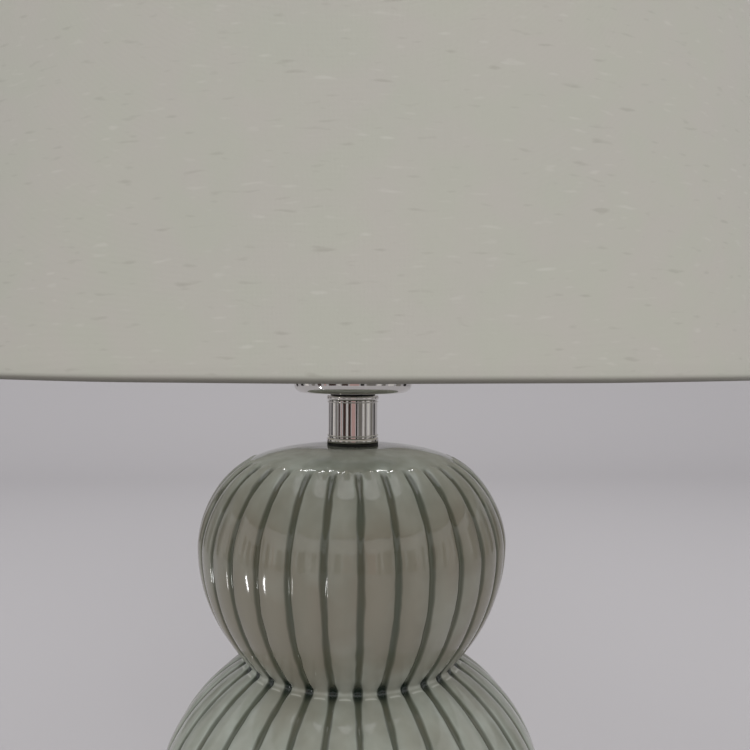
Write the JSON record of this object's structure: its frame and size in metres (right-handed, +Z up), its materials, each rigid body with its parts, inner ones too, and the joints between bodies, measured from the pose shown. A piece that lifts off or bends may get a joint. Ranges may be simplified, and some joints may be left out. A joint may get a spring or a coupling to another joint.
{
  "type": "table lamp",
  "caption": "Table lamp with a ribbed double-gourd glazed ceramic body, a polished metal neck, a harp and a tapered fabric drum shade.",
  "frame": {"origin": "on the lamp's axis, at the underside of the felt foot", "axes": "+Z up along the lamp's axis, -Y to the front, +Y to the cord inlet, the harp in the XZ plane"},
  "size_m": [0.4, 0.3998, 0.5659],
  "materials": {
    "wool_felt": "pressed wool felt",
    "celadon_glaze": "glossy grey-green glaze, darker where it pools in the grooves",
    "polished_chrome": "polished plating",
    "black_rubber": "moulded",
    "zinc_steel": "zinc-plated",
    "black_plastic": "moulded",
    "nickel_steel": "nickel-plated wire and strap",
    "nickel_brass": "spun and lightly polished",
    "yellow_brass": "turned",
    "vulcanised_paper": "pressed paper",
    "frosted_glass": "frosted inside",
    "threaded_aluminium": "rolled",
    "linen_fabric": "linen-look weave with slubs",
    "white_styrene": "smooth sheet",
    "white_painted_wire": "powder-coated wire"
  },
  "bodies": {
    "lamp_stand": {"felt_foot_ring": "wool_felt", "ceramic_body": "celadon_glaze", "cord_bushing": "black_plastic", "base_plate": "zinc_steel", "base_lock_washer": "zinc_steel", "base_hex_nut": "zinc_steel", "hollow_threaded_rod": "zinc_steel", "neck_gasket": "black_rubber", "neck_lower_collar": "polished_chrome", "neck_tube": "polished_chrome", "neck_upper_collar": "polished_chrome", "neck_spacer": "black_rubber", "dish": "polished_chrome", "dish_hex_nut": "zinc_steel", "harp_saddle": "nickel_steel", "harp_bow": "nickel_steel", "harp_stud": "nickel_steel", "socket_cap": "nickel_brass", "socket_shell": "nickel_brass", "socket_set_screw": "zinc_steel", "socket_liner": "vulcanised_paper", "socket_core": "black_plastic", "terminal_screws": "yellow_brass", "screw_shell": "yellow_brass", "centre_contact": "yellow_brass", "bulb_glass": "frosted_glass", "bulb_base": "threaded_aluminium", "bulb_tip_contact": "yellow_brass"},
    "switch_key": {"switch_shaft": "zinc_steel", "switch_knob": "black_plastic"},
    "right_sleeve": {"right_harp_sleeve": "nickel_steel"},
    "left_sleeve": {"left_harp_sleeve": "nickel_steel"},
    "shade": {"shade_fabric": "linen_fabric", "shade_lining": "white_styrene", "shade_top_wire": "white_painted_wire", "shade_bottom_wire": "white_painted_wire", "shade_spider": "white_painted_wire"},
    "finial_carrier": {"finial_washer": "polished_chrome"},
    "finial": {"finial": "polished_chrome"}
  },
  "joints": [
    {"name": "switch_key_turn", "type": "hinge", "parent": "lamp_stand", "child": "switch_key", "pos_m": [0, -0.03, 0.32], "axis": [0, -1, 0], "continuous": true},
    {"name": "right_sleeve_lift", "type": "slide", "parent": "lamp_stand", "child": "right_sleeve", "axis": [0, 0, 1], "range_m": [0, 0.01]},
    {"name": "left_sleeve_lift", "type": "slide", "parent": "lamp_stand", "child": "left_sleeve", "axis": [0, 0, 1], "range_m": [0, 0.01]},
    {"name": "shade_turn", "type": "hinge", "parent": "lamp_stand", "child": "shade", "pos_m": [0, 0, 0.537], "axis": [0, 0, 1], "continuous": true},
    {"name": "finial_rise", "type": "slide", "parent": "lamp_stand", "child": "finial_carrier", "axis": [0, 0, 1], "range_m": [0, 0.0075]},
    {"name": "finial_turn", "type": "hinge", "parent": "finial_carrier", "child": "finial", "pos_m": [0, 0, 0.55], "axis": [0, 0, 1], "range_deg": [0, 2900]}
  ],
  "couplings": [
    {"joint": "finial_turn", "follows": "finial_rise", "rad_per_m": 6679}
  ]
}
